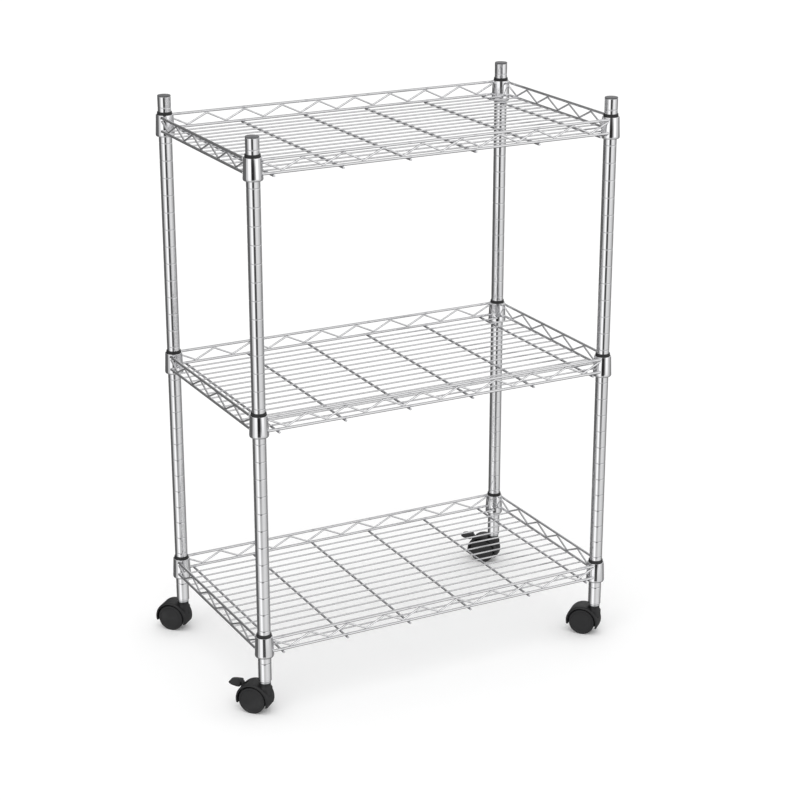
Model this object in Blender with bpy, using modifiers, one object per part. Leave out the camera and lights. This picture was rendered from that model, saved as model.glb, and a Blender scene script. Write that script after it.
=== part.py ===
"""Three-tier wire shelf cart on four swivel casters.

Three welded wire shelves stand on four tube posts. At every post a split sleeve fills the
shelf's tapered collar. A hooded twin-wheel caster turns on a stem in the foot of each post, and
two casters on a diagonal have a foot brake.
Units are metres, +Z is up, +X runs along the long side and the front faces -Y.
"""

import math

import bmesh
import bpy
from mathutils import Vector

# Overall layout
POST_SPACING_X = 0.5526
POST_SPACING_Y = 0.3070
FIT_GAP = 0.0003
ROUND_SIDES = 12
PIN_SIDES = 8

# Posts
POST_RADIUS = 0.0095
POST_BORE_RADIUS = 0.0082
POST_BOTTOM = 0.0500
POST_TOP = 0.8305
INSERT_HEIGHT = 0.0240
INSERT_BORE_RADIUS = 0.0043
GROOVE_PITCH = 0.0254

# Post caps
CAP_HEIGHT = 0.0015
CAP_EDGE = 0.0005
CAP_PLUG_RADIUS = 0.0079
CAP_PLUG_LENGTH = 0.0110

# Shelf levels, as the height of each collar's top edge
BOTTOM_SHELF_Z = 0.1190
MIDDLE_SHELF_STEPS = 13
TOP_SHELF_STEPS = 27

# Shelf collars
COLLAR_HEIGHT = 0.0310
COLLAR_TOP_RADIUS = 0.0125
COLLAR_BOTTOM_RADIUS = 0.0137
COLLAR_WALL = 0.0014
COLLAR_ROLL_HEIGHT = 0.0035
COLLAR_ROLL = 0.0007
WELD_MARGIN = 0.00015

# Shelf wires
RIM_RADIUS = 0.0020
RIM_OFFSET = 0.0086
RIM_TOP_DROP = 0.0030
RIM_HEIGHT = 0.0192
ZIGZAG_RADIUS = 0.0014
ZIGZAG_PITCH = 0.0595
ZIGZAG_SINK = 0.0014
ZIGZAG_INSET = 0.0003
LONG_SIDE_PEAKS = 8
SHORT_SIDE_PEAKS = 4
DECK_RADIUS = 0.0012
DECK_WIRES = 15
CROSS_RADIUS = 0.0017
CROSS_WIRES = 6
CROSS_SPAN = 0.5040
CROSS_OVERHANG = 0.0050
WELD_SINK = 0.0005

# Split sleeves
SLEEVE_STAND = 0.0040
SLEEVE_FOOT = 0.0010
SLEEVE_SLIT = 0.0008

# Casters, in a frame on the post axis whose +X is the trailing direction
CASTER_HEADING = math.radians(132.5)
CASTER_TRAIL = 0.0162
WHEEL_RADIUS = 0.0200
WHEEL_INNER = 0.0056
WHEEL_OUTER = 0.0139
WHEEL_EDGE = 0.0012
WHEEL_SIDES = 16
HUB_BORE_RADIUS = 0.0023
HUB_BORE_DEPTH = 0.0055
AXLE_RADIUS = 0.0020
AXLE_HALF_LENGTH = 0.0108
HOOD_RADIUS = 0.0250
HOOD_HALF_WIDTH = 0.0140
HOOD_POCKET_RADIUS = 0.0222
HOOD_WEB = 0.0052
HOOD_BACK_SKIRT = math.radians(14)
HOOD_FRONT_SKIRT = math.radians(20)
HOOD_EDGE = 0.0016
HOOD_ARC_STEPS = 12
BOSS_RADIUS = 0.0082
BOSS_BOTTOM = 0.0275
BOSS_TOP = 0.0464
STEM_RADIUS = 0.0040
STEM_TOP = 0.0700
STEM_PIN_RADIUS = 0.0035
STEM_PIN_BOTTOM = 0.0260
FLANGE_RADIUS = 0.0085
SOCKET_BOTTOM = 0.0240

# Brake lever
LEVER_HALF_WIDTH = 0.0036
PADDLE_HALF_WIDTH = 0.0065
LEVER_PIVOT = (0.0300, 0.0310)
LEVER_SLOT_ANGLES = (math.radians(22), math.radians(66))
LEVER_SLOT_INNER = 0.0130
LEVER_SLOT_OUTER = 0.0274
PEG_RADIUS = 0.0015
PEG_HALF_LENGTH = 0.0049
LEVER_ARM = [
    (-0.0030, -0.0020),
    (0.0010, -0.0040),
    (0.0085, 0.0075),
    (0.0090, 0.0120),
    (0.0040, 0.0115),
]
LEVER_PADDLE = [
    (0.0066, 0.0049),
    (0.0110, 0.0036),
    (0.0170, 0.0044),
    (0.0220, 0.0058),
    (0.0248, 0.0084),
    (0.0236, 0.0108),
    (0.0190, 0.0124),
    (0.0120, 0.0132),
    (0.0056, 0.0126),
]

CORNERS = {
    "front_left": (-1, -1),
    "front_right": (1, -1),
    "back_left": (-1, 1),
    "back_right": (1, 1),
}
BRAKED = ("front_left", "back_right")
SHELVES = {
    "bottom": BOTTOM_SHELF_Z,
    "middle": BOTTOM_SHELF_Z + MIDDLE_SHELF_STEPS * GROOVE_PITCH,
    "top": BOTTOM_SHELF_Z + TOP_SHELF_STEPS * GROOVE_PITCH,
}


def clear_scene():
    """Empty the scene and open one collection for the parts and one for the cutters."""
    for item in list(bpy.data.objects):
        bpy.data.objects.remove(item, do_unlink=True)
    folders = []
    for name in ("wire_shelf_cart", "wire_shelf_cart_cutters"):
        folder = bpy.data.collections.new(name)
        bpy.context.scene.collection.children.link(folder)
        folders.append(folder)
    return folders


def finish(name, colour, roughness, metallic):
    """A Principled material for one kind of piece."""
    surface = bpy.data.materials.new(name)
    surface.use_nodes = True
    shader = surface.node_tree.nodes["Principled BSDF"]
    shader.inputs["Base Color"].default_value = (*colour, 1.0)
    shader.inputs["Roughness"].default_value = roughness
    shader.inputs["Metallic"].default_value = metallic
    return surface


def add(name, data, folder, surface=None):
    """Put a mesh or curve into the scene as a named object."""
    item = bpy.data.objects.new(name, data)
    folder.objects.link(item)
    if surface and not data.materials:
        data.materials.append(surface)
    return item


def frozen(item, folder):
    """The evaluated shape of an object as a plain mesh, with the object itself removed."""
    bpy.context.view_layer.update()
    evaluated = item.evaluated_get(bpy.context.evaluated_depsgraph_get())
    data = bpy.data.meshes.new_from_object(evaluated)
    shape = bmesh.new()
    shape.from_mesh(data)
    bmesh.ops.remove_doubles(shape, verts=shape.verts, dist=1e-6)
    shape.to_mesh(data)
    shape.free()
    place = item.matrix_world.copy()
    name = item.name
    bpy.data.objects.remove(item, do_unlink=True)
    solid = bpy.data.objects.new(name, data)
    folder.objects.link(solid)
    solid.matrix_world = place
    return solid


def wire(name, points, radius, sides, folder):
    """A straight or bent wire: a bevelled poly curve with an edge of its section facing up."""
    path = bpy.data.curves.new(name, "CURVE")
    path.dimensions = "3D"
    path.twist_mode = "Z_UP"
    path.bevel_depth = radius
    path.bevel_resolution = (sides - 4) // 2
    path.use_fill_caps = True
    spline = path.splines.new("POLY")
    spline.points.add(len(points) - 1)
    turn = math.pi / 2 if sides % 4 else 0.0
    for knot, point in zip(spline.points, points):
        knot.co = (*point, 1.0)
        knot.tilt = turn
    return frozen(add(name, path, folder), folder)


def turned(name, profile, sides, folder, surface=None):
    """A solid of revolution about Z from a profile that runs down its outer side."""
    outline = bmesh.new()
    knots = [outline.verts.new((radius, 0.0, height)) for radius, height in profile]
    closed = profile[0][0] > 0.0
    for here, there in zip(knots, knots[1:] + knots[:1] if closed else knots[1:]):
        outline.edges.new((here, there))
    data = bpy.data.meshes.new(name)
    outline.to_mesh(data)
    outline.free()
    item = add(name, data, folder, surface)
    spin = item.modifiers.new("turn", "SCREW")
    spin.axis = "Z"
    spin.steps = sides
    spin.render_steps = sides
    spin.use_merge_vertices = True
    spin.merge_threshold = 1e-6
    spin.use_smooth_shade = True
    return item


def plate(name, outline, half_width, folder, edge=0.0):
    """A flat outline in the XZ plane, extruded to both sides along Y, with bevelled edges if asked."""
    path = bpy.data.curves.new(name, "CURVE")
    path.dimensions = "2D"
    path.fill_mode = "BOTH"
    path.extrude = half_width - edge
    path.bevel_depth = edge
    path.bevel_resolution = 0
    path.offset = -edge
    spline = path.splines.new("POLY")
    spline.points.add(len(outline) - 1)
    spline.use_cyclic_u = True
    for knot, (along, height) in zip(spline.points, outline):
        knot.co = (along, height, 0.0, 1.0)
    item = add(name, path, folder)
    item.rotation_euler = (math.pi / 2, 0.0, 0.0)
    return frozen(item, folder)


def rod(name, radius, length, sides, folder):
    """A plain cylinder along Z, centred on its origin."""
    shape = bmesh.new()
    bmesh.ops.create_cone(shape, cap_ends=True, segments=sides, radius1=radius, radius2=radius, depth=length)
    data = bpy.data.meshes.new(name)
    shape.to_mesh(data)
    shape.free()
    return add(name, data, folder)


def block(name, low, high, folder):
    """A box between two corners."""
    shape = bmesh.new()
    bmesh.ops.create_cube(shape, size=1.0)
    for vert in shape.verts:
        vert.co = [a + (b - a) * (c + 0.5) for a, b, c in zip(low, high, vert.co)]
    data = bpy.data.meshes.new(name)
    shape.to_mesh(data)
    shape.free()
    return add(name, data, folder)


def boolean(item, operation, others, folder):
    """Join or cut an object with others, freeze the result and drop the others."""
    group = bpy.data.collections.new("operands")
    for other in others:
        group.objects.link(other)
    step = item.modifiers.new(operation.lower(), "BOOLEAN")
    step.operation = operation
    step.operand_type = "COLLECTION"
    step.collection = group
    step.solver = "EXACT"
    result = frozen(item, folder)
    for other in others:
        bpy.data.objects.remove(other, do_unlink=True)
    bpy.data.collections.remove(group)
    return result


def smooth(data):
    """Smooth shading with crisp edges."""
    data.shade_smooth()
    data.set_sharp_from_angle(angle=math.radians(35))


def shared_mesh(item, surface):
    """An object's mesh in world coordinates, for copies to share, with the object removed."""
    data = item.data
    data.transform(item.matrix_world)
    data.materials.clear()
    data.materials.append(surface)
    smooth(data)
    bpy.data.objects.remove(item, do_unlink=True)
    return data


def copy_of(name, data, folder, parent=None, location=(0.0, 0.0, 0.0), rotation=(0.0, 0.0, 0.0)):
    """One more object on a shared mesh."""
    item = bpy.data.objects.new(name, data)
    folder.objects.link(item)
    item.parent = parent
    item.location = location
    item.rotation_euler = rotation
    return item


def joint_frame(name, folder, location, heading=0.0, parent=None):
    """An empty on a joint axis that carries the pieces of one moving body."""
    frame = bpy.data.objects.new(name, None)
    folder.objects.link(frame)
    frame.empty_display_size = 0.02
    frame.parent = parent
    frame.location = location
    frame.rotation_euler = (0.0, 0.0, heading)
    return frame


def post_place(corner):
    """The post's centre line for a corner, on the floor."""
    side_x, side_y = CORNERS[corner]
    return Vector((side_x * POST_SPACING_X / 2, side_y * POST_SPACING_Y / 2, 0.0))


def collar_profile():
    """The collar's tapered tube with its lower edge rolled in, from its top edge at Z 0."""
    inner_top = COLLAR_TOP_RADIUS - COLLAR_WALL
    inner_bottom = COLLAR_BOTTOM_RADIUS - COLLAR_WALL
    return [
        (COLLAR_TOP_RADIUS, 0.0),
        (COLLAR_BOTTOM_RADIUS, COLLAR_ROLL_HEIGHT - COLLAR_HEIGHT),
        (COLLAR_BOTTOM_RADIUS - COLLAR_ROLL, -COLLAR_HEIGHT),
        (inner_bottom, -COLLAR_HEIGHT),
        (inner_top, 0.0),
    ]


def wire_end(height, offset):
    """How far from a post's axis a wire stops, so that it ends inside the collar's wall."""
    bore = COLLAR_TOP_RADIUS - COLLAR_WALL
    widening = (COLLAR_BOTTOM_RADIUS - COLLAR_TOP_RADIUS) * -height / COLLAR_HEIGHT
    return math.sqrt((bore + widening + WELD_MARGIN) ** 2 - offset**2)


def zigzag_points(half_length, peaks, low, high):
    """Corner points of a zigzag between a valley level and a peak level, as (along, height)."""
    first_valley = -peaks * ZIGZAG_PITCH / 2
    slope = (high - low) / (ZIGZAG_PITCH / 2)
    end = half_length - wire_end(low, RIM_OFFSET - ZIGZAG_INSET - ZIGZAG_RADIUS)
    end_height = low + slope * (end + first_valley)
    points = [(-end, end_height)]
    for turn in range(2 * peaks + 1):
        points.append((first_valley + turn * ZIGZAG_PITCH / 2, high if turn % 2 else low))
    points.append((end, end_height))
    return points


def shelf_mesh(folder, surface):
    """One welded shelf about its centre, with the collars' top edges at Z 0."""
    half_x = POST_SPACING_X / 2
    half_y = POST_SPACING_Y / 2
    rim_x = half_x + RIM_OFFSET
    rim_y = half_y + RIM_OFFSET
    top_z = -RIM_TOP_DROP
    low_z = top_z - RIM_HEIGHT
    bend = ZIGZAG_RADIUS / math.cos(math.atan2(RIM_HEIGHT, ZIGZAG_PITCH / 2))
    peak_z = top_z - RIM_RADIUS - bend + ZIGZAG_SINK
    valley_z = low_z + RIM_RADIUS + bend + FIT_GAP
    cross_z = low_z - RIM_RADIUS - CROSS_RADIUS + WELD_SINK
    deck_z = cross_z + CROSS_RADIUS + DECK_RADIUS - WELD_SINK
    pieces = []
    for side in (-1, 1):
        for height in (top_z, low_z):
            stop = wire_end(height, RIM_OFFSET - RIM_RADIUS)
            end_x = half_x - stop
            end_y = half_y - stop
            along_x = [(-end_x, side * rim_y, height), (end_x, side * rim_y, height)]
            along_y = [(side * rim_x, -end_y, height), (side * rim_x, end_y, height)]
            pieces.append(wire("rim_long", along_x, RIM_RADIUS, 6, folder))
            pieces.append(wire("rim_short", along_y, RIM_RADIUS, 6, folder))
        inset_x = side * (rim_x - ZIGZAG_INSET)
        inset_y = side * (rim_y - ZIGZAG_INSET)
        long_run = zigzag_points(half_x, LONG_SIDE_PEAKS, valley_z, peak_z)
        short_run = zigzag_points(half_y, SHORT_SIDE_PEAKS, valley_z, peak_z)
        long_bends = [(along, inset_y, height) for along, height in long_run]
        short_bends = [(inset_x, along, height) for along, height in short_run]
        pieces.append(wire("zigzag_long", long_bends, ZIGZAG_RADIUS, 4, folder))
        pieces.append(wire("zigzag_short", short_bends, ZIGZAG_RADIUS, 4, folder))
    for index in range(DECK_WIRES):
        row = -rim_y + 2 * rim_y * (index + 1) / (DECK_WIRES + 1)
        beside_post = half_y - abs(row)
        end = rim_x
        if beside_post < COLLAR_BOTTOM_RADIUS + DECK_RADIUS:
            end = half_x - wire_end(deck_z, beside_post - DECK_RADIUS)
        pieces.append(wire("deck", [(-end, row, deck_z), (end, row, deck_z)], DECK_RADIUS, 4, folder))
    for index in range(CROSS_WIRES):
        column = CROSS_SPAN * (index / (CROSS_WIRES - 1) - 0.5)
        reach = rim_y + CROSS_OVERHANG
        run = [(column, -reach, cross_z), (column, reach, cross_z)]
        pieces.append(wire("cross", run, CROSS_RADIUS, 4, folder))
    for corner in CORNERS:
        collar = turned("collar", collar_profile(), ROUND_SIDES, folder)
        collar.location = post_place(corner)
        pieces.append(collar)
    return shared_mesh(boolean(pieces[0], "UNION", pieces[1:], folder), surface)


def sleeve_meshes(folder, cutters, surface):
    """The two halves of a split sleeve, with the collar's top edge at Z 0."""
    foot = SLEEVE_FOOT - COLLAR_HEIGHT
    taper = (COLLAR_TOP_RADIUS - COLLAR_BOTTOM_RADIUS) / COLLAR_HEIGHT
    seat = COLLAR_TOP_RADIUS - COLLAR_WALL - FIT_GAP
    bore = POST_RADIUS + FIT_GAP
    profile = [
        (seat + taper * SLEEVE_STAND, SLEEVE_STAND),
        (seat + taper * foot, foot),
        (bore, foot),
        (bore, SLEEVE_STAND),
    ]
    halves = []
    reach = 2 * COLLAR_BOTTOM_RADIUS
    for side in (-1, 1):
        half = turned("sleeve", profile, ROUND_SIDES, folder)
        near = side * SLEEVE_SLIT / 2
        far = -side * reach
        low = (-reach, min(near, far), -reach * 2)
        high = (reach, max(near, far), reach)
        half = boolean(half, "DIFFERENCE", [block("sleeve_cut", low, high, cutters)], folder)
        halves.append(shared_mesh(half, surface))
    return halves


def post_profile():
    """The tube wall with the threaded insert at its foot."""
    return [
        (POST_RADIUS, POST_TOP),
        (POST_RADIUS, POST_BOTTOM),
        (INSERT_BORE_RADIUS, POST_BOTTOM),
        (INSERT_BORE_RADIUS, POST_BOTTOM + INSERT_HEIGHT),
        (POST_BORE_RADIUS, POST_BOTTOM + INSERT_HEIGHT),
        (POST_BORE_RADIUS, POST_TOP),
    ]


def cap_profile():
    """A plug-in cap that closes the top of a post."""
    base = POST_TOP + FIT_GAP
    return [
        (0.0, base + CAP_HEIGHT),
        (POST_RADIUS - CAP_EDGE, base + CAP_HEIGHT),
        (POST_RADIUS, base + CAP_HEIGHT - CAP_EDGE),
        (POST_RADIUS, base),
        (CAP_PLUG_RADIUS, base),
        (CAP_PLUG_RADIUS, base - CAP_PLUG_LENGTH),
        (0.0, base - CAP_PLUG_LENGTH),
    ]


def stem_profile():
    """The caster stem: a screw above its flange and a plain swivel pin below it."""
    return [
        (0.0, STEM_TOP),
        (STEM_RADIUS, STEM_TOP),
        (STEM_RADIUS, POST_BOTTOM - FIT_GAP),
        (FLANGE_RADIUS, POST_BOTTOM - FIT_GAP),
        (FLANGE_RADIUS, BOSS_TOP + FIT_GAP),
        (STEM_PIN_RADIUS, BOSS_TOP + FIT_GAP),
        (STEM_PIN_RADIUS, STEM_PIN_BOTTOM),
        (0.0, STEM_PIN_BOTTOM),
    ]


def wheel_profile():
    """One wheel about its own axle: outer face at the top, blind hub bore from below.

    The facets' flats, not their corners, lie at the wheel's radius, so it stands on a flat.
    """
    rim = WHEEL_RADIUS / math.cos(math.pi / WHEEL_SIDES)
    return [
        (0.0, WHEEL_OUTER),
        (rim - 2 * WHEEL_EDGE, WHEEL_OUTER),
        (rim, WHEEL_OUTER - WHEEL_EDGE),
        (rim, WHEEL_INNER),
        (HUB_BORE_RADIUS, WHEEL_INNER),
        (HUB_BORE_RADIUS, WHEEL_INNER + HUB_BORE_DEPTH),
        (0.0, WHEEL_INNER + HUB_BORE_DEPTH),
    ]


def arc(centre, radius, start, stop, steps):
    """Points along an arc in the XZ plane."""
    turns = [start + (stop - start) * step / steps for step in range(steps + 1)]
    return [(centre[0] + radius * math.cos(turn), centre[1] + radius * math.sin(turn)) for turn in turns]


def hood_mesh(name, braked, folder, cutters, surface):
    """The moulded hood: an arch over both wheels, a web between them and a boss for the stem."""
    axle = (CASTER_TRAIL, WHEEL_RADIUS)
    outline = arc(axle, HOOD_RADIUS, -HOOD_BACK_SKIRT, math.pi + HOOD_FRONT_SKIRT, HOOD_ARC_STEPS)
    body = plate(name, outline, HOOD_HALF_WIDTH, folder, HOOD_EDGE)
    boss = rod("boss", BOSS_RADIUS, BOSS_TOP - BOSS_BOTTOM, ROUND_SIDES, cutters)
    boss.location = (0.0, 0.0, (BOSS_TOP + BOSS_BOTTOM) / 2)
    body = boolean(body, "UNION", [boss], folder)
    cuts = []
    for side in (-1, 1):
        pocket = rod("wheel_pocket", HOOD_POCKET_RADIUS, HOOD_HALF_WIDTH, ROUND_SIDES, cutters)
        pocket.rotation_euler = (math.pi / 2, math.pi / ROUND_SIDES, 0.0)
        pocket.location = (axle[0], side * (HOOD_WEB + HOOD_HALF_WIDTH / 2), axle[1])
        cuts.append(pocket)
    socket = rod("stem_socket", STEM_PIN_RADIUS + FIT_GAP, 2 * (BOSS_TOP - SOCKET_BOTTOM), PIN_SIDES, cutters)
    socket.location = (0.0, 0.0, BOSS_TOP)
    cuts.append(socket)
    holes = [("axle_hole", AXLE_RADIUS, axle)]
    if braked:
        start, stop = LEVER_SLOT_ANGLES
        rim = arc(axle, LEVER_SLOT_OUTER, start, stop, 3)
        root = arc(axle, LEVER_SLOT_INNER, stop, start, 1)
        cuts.append(plate("lever_slot", rim + root, LEVER_HALF_WIDTH + FIT_GAP, cutters))
        holes.append(("peg_hole", PEG_RADIUS, LEVER_PIVOT))
    for label, radius, place in holes:
        hole = rod(label, radius + FIT_GAP, 2 * HOOD_HALF_WIDTH, PIN_SIDES, cutters)
        hole.rotation_euler = (math.pi / 2, 0.0, 0.0)
        hole.location = (place[0], 0.0, place[1])
        cuts.append(hole)
    return shared_mesh(boolean(body, "DIFFERENCE", cuts, folder), surface)


def lever_mesh(folder, cutters, surface):
    """The foot brake about its pivot: an arm in the hood's slot, its pegs and a curved paddle outside."""
    lever = plate("lever", LEVER_PADDLE, PADDLE_HALF_WIDTH, folder)
    root = plate("lever_arm", LEVER_ARM, LEVER_HALF_WIDTH, cutters)
    peg = rod("lever_peg", PEG_RADIUS, 2 * PEG_HALF_LENGTH, PIN_SIDES, cutters)
    peg.rotation_euler = (math.pi / 2, 0.0, 0.0)
    return shared_mesh(boolean(lever, "UNION", [root, peg], folder), surface)


def build():
    """Put the whole cart together."""
    parts, cutters = clear_scene()
    chrome = finish("chrome_wire", (0.78, 0.78, 0.79), 0.16, 1.0)
    tube = finish("chrome_tube", (0.80, 0.80, 0.81), 0.12, 1.0)
    zinc = finish("zinc_steel", (0.62, 0.63, 0.64), 0.32, 1.0)
    sleeve_plastic = finish("sleeve_plastic", (0.06, 0.06, 0.065), 0.45, 0.0)
    cap_plastic = finish("cap_plastic", (0.16, 0.16, 0.17), 0.45, 0.0)
    hood_plastic = finish("hood_plastic", (0.030, 0.030, 0.032), 0.42, 0.0)
    tread = finish("wheel_plastic", (0.036, 0.036, 0.038), 0.50, 0.0)

    shelf = shelf_mesh(parts, chrome)
    halves = sleeve_meshes(parts, cutters, sleeve_plastic)
    plain_hood = hood_mesh("plain_hood", False, parts, cutters, hood_plastic)
    brake_hood = hood_mesh("brake_hood", True, parts, cutters, hood_plastic)
    lever = lever_mesh(parts, cutters, hood_plastic)

    for level, height in SHELVES.items():
        copy_of(f"shelf_{level}", shelf, parts, location=(0.0, 0.0, height))
        for corner in CORNERS:
            place = post_place(corner) + Vector((0.0, 0.0, height))
            for letter, half in zip("ab", halves):
                copy_of(f"sleeve_{level}_{corner}_{letter}", half, parts, location=place)

    for corner in CORNERS:
        place = post_place(corner)
        for label, profile, sides, surface in (
            ("post", post_profile(), ROUND_SIDES, tube),
            ("post_cap", cap_profile(), ROUND_SIDES, cap_plastic),
            ("caster_stem", stem_profile(), PIN_SIDES, zinc),
        ):
            turned(f"{label}_{corner}", profile, sides, parts, surface).location = place

        swivel = joint_frame(f"swivel_{corner}", parts, place, CASTER_HEADING)
        braked = corner in BRAKED
        copy_of(f"caster_hood_{corner}", brake_hood if braked else plain_hood, parts, swivel)
        axle_line = joint_frame(f"axle_line_{corner}", parts, (CASTER_TRAIL, 0.0, WHEEL_RADIUS), 0.0, swivel)
        axle = rod(f"axle_{corner}", AXLE_RADIUS, 2 * AXLE_HALF_LENGTH, PIN_SIDES, parts)
        axle.data.materials.append(zinc)
        smooth(axle.data)
        axle.parent = axle_line
        axle.rotation_euler = (math.pi / 2, 0.0, 0.0)
        for letter, turn in (("a", -math.pi / 2), ("b", math.pi / 2)):
            wheel = turned(f"wheel_{corner}_{letter}", wheel_profile(), WHEEL_SIDES, parts, tread)
            wheel.parent = axle_line
            wheel.rotation_euler = (turn, 0.0, 0.0)
            wheel.rotation_euler.rotate_axis("Z", math.pi / WHEEL_SIDES)
        if braked:
            pivot = (LEVER_PIVOT[0], 0.0, LEVER_PIVOT[1])
            copy_of(f"brake_lever_{corner}", lever, parts, swivel, pivot)


build()
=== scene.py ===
import math

import bmesh
import bpy
from mathutils import Matrix, Vector


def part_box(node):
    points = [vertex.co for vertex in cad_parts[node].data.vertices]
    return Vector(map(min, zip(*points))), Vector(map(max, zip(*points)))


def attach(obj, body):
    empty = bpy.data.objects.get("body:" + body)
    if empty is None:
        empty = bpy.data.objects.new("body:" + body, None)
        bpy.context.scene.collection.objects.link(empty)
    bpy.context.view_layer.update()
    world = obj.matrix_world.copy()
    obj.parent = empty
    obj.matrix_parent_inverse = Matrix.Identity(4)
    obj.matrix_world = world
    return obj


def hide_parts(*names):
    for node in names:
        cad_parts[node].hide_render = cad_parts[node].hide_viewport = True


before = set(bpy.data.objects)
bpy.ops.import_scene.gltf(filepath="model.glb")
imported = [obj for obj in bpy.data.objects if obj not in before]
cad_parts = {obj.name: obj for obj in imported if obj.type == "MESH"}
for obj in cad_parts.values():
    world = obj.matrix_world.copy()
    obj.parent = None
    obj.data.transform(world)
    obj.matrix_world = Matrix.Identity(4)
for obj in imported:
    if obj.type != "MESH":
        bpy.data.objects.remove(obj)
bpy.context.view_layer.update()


# Posts: four 19 mm steel tubes, rolled with a ring groove every inch and bright chrome plated.
# Each has a threaded insert pressed into its foot, which takes the caster's screw.
# The grooves are where the shelves' sleeves take hold.
POST_RADIUS = 0.0095
POST_BORE = 0.0082
POST_BOTTOM = 0.0500
POST_TOP = 0.8305
TOP_EDGE = 0.0003
FOOT_EDGE = 0.0005
INSERT_HEIGHT = 0.0240
INSERT_BORE = 0.0043
GROOVE_PITCH = 0.0254
FIRST_GROOVE = 0.0781
GROOVE_DEPTH = 0.00028
GROOVE_HALF_WIDTH = 0.0010
GROOVE_STEPS = 4
PLAIN_TOP = 0.0120
SHARP_ANGLE = math.radians(40)
CORNERS = ("front_left", "front_right", "back_left", "back_right")


class Signal:
    """One socket of a node tree: arithmetic on it adds Math nodes, node() adds any other node."""

    def __init__(self, tree, socket=None):
        self.tree = tree
        self.socket = socket

    def node(self, kind, settings=None, sockets=None, output=0):
        """A new node with its settings and its linked or set inputs, as a signal of one output."""
        made = self.tree.nodes.new(kind)
        for name, value in (settings or {}).items():
            setattr(made, name, value)
        for name, value in (sockets or {}).items():
            if isinstance(value, Signal):
                self.tree.links.new(value.socket, made.inputs[name])
            else:
                made.inputs[name].default_value = value
        return Signal(self.tree, made.outputs[output] if made.outputs else None)

    def math(self, operation, *values):
        """A Math node on its values."""
        return self.node("ShaderNodeMath", {"operation": operation}, dict(enumerate(values)))

    def __add__(self, other):
        return self.math("ADD", self, other)

    __radd__ = __add__

    def __sub__(self, other):
        return self.math("SUBTRACT", self, other)

    def __rsub__(self, other):
        return self.math("SUBTRACT", other, self)

    def __mul__(self, other):
        return self.math("MULTIPLY", self, other)

    __rmul__ = __mul__

    def __truediv__(self, other):
        return self.math("DIVIDE", self, other)

    def __neg__(self):
        return self.math("MULTIPLY", self, -1.0)

    def near(self, centre, repeat, inner, outer):
        """1 within inner of the centre or of its repeats, falling to 0 at outer."""
        away = self.math("ABSOLUTE", self.math("WRAP", self - centre, repeat / 2, -repeat / 2))
        return self.fade(away, outer, inner)

    def fade(self, value, low, high):
        """A smooth step of a value from 0 at low to 1 at high."""
        ends = {"Value": value, "From Min": low, "From Max": high}
        return self.node("ShaderNodeMapRange", {"interpolation_type": "SMOOTHSTEP"}, ends)

    def noise(self, place, scale, detail=2.0):
        """Noise between 0 and 1 at a place."""
        return self.node("ShaderNodeTexNoise", None, {"Vector": place, "Scale": scale, "Detail": detail})

    def stretched(self, place, scale):
        """A place with its axes scaled, so that a pattern runs long one way."""
        return self.node("ShaderNodeMapping", None, {"Vector": place, "Scale": scale})

    def blend(self, share, first, second):
        """A colour between two colours."""
        ends = {0: share, 6: (*first, 1.0), 7: (*second, 1.0)}
        return self.node("ShaderNodeMix", {"data_type": "RGBA"}, ends, 2)

    def bump(self, height, strength, distance):
        """A normal that follows a height."""
        sizes = {"Height": height, "Strength": strength, "Distance": distance}
        return self.node("ShaderNodeBump", None, sizes)


def surface(name):
    """A new material, its tree as a signal, its Principled shader's inputs and the object coordinates."""
    made = bpy.data.materials.new(name)
    made.use_nodes = True
    start = Signal(made.node_tree)
    place = start.node("ShaderNodeTexCoord", output="Object")
    return made, start, made.node_tree.nodes["Principled BSDF"].inputs, place


def feed(inputs, values):
    """Link or set sockets of a material's shader."""
    for name, value in values.items():
        if isinstance(value, Signal):
            value.tree.links.new(value.socket, inputs[name])
        else:
            inputs[name].default_value = value


def turned(name, profile, steps=48, start=0.0, stop=2 * math.pi):
    """A solid of revolution about Z from a closed outline of (radius, height) points."""
    shape = bmesh.new()
    whole = abs(stop - start - 2 * math.pi) < 1e-6
    poles = {}
    rings = []
    for step in range(steps if whole else steps + 1):
        turn = start + (stop - start) * step / steps
        ring = []
        for index, (radius, height) in enumerate(profile):
            if radius < 1e-9:
                if index not in poles:
                    poles[index] = shape.verts.new((0.0, 0.0, height))
                ring.append(poles[index])
            else:
                ring.append(shape.verts.new((radius * math.cos(turn), radius * math.sin(turn), height)))
        rings.append(ring)
    pairs = list(zip(rings, rings[1:] + rings[:1])) if whole else list(zip(rings, rings[1:]))
    for here, there in pairs:
        for index in range(len(profile)):
            after = (index + 1) % len(profile)
            corners = [here[index], there[index], there[after], here[after]]
            knots = list(dict.fromkeys(corners))
            if len(knots) > 2:
                shape.faces.new(knots)
    if not whole:
        shape.faces.new(rings[0])
        shape.faces.new(rings[-1])
    bmesh.ops.recalc_face_normals(shape, faces=shape.faces)
    data = bpy.data.meshes.new(name)
    shape.to_mesh(data)
    shape.free()
    return data


def piece(name, data, place, finish, body, node):
    """One finished piece: the mesh set in its place, riding on its body where its solid is."""
    made = data.copy()
    made.transform(place)
    made.materials.clear()
    made.materials.append(finish)
    made.shade_smooth()
    made.set_sharp_from_angle(angle=SHARP_ANGLE)
    item = bpy.data.objects.new(name, made)
    bpy.context.scene.collection.objects.link(item)
    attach(item, body)
    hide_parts(node)


post_axis = {}
for corner in CORNERS:
    low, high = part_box(f"post_{corner}")
    post_axis[corner] = Vector(((low.x + high.x) / 2, (low.y + high.y) / 2, 0.0))

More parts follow.
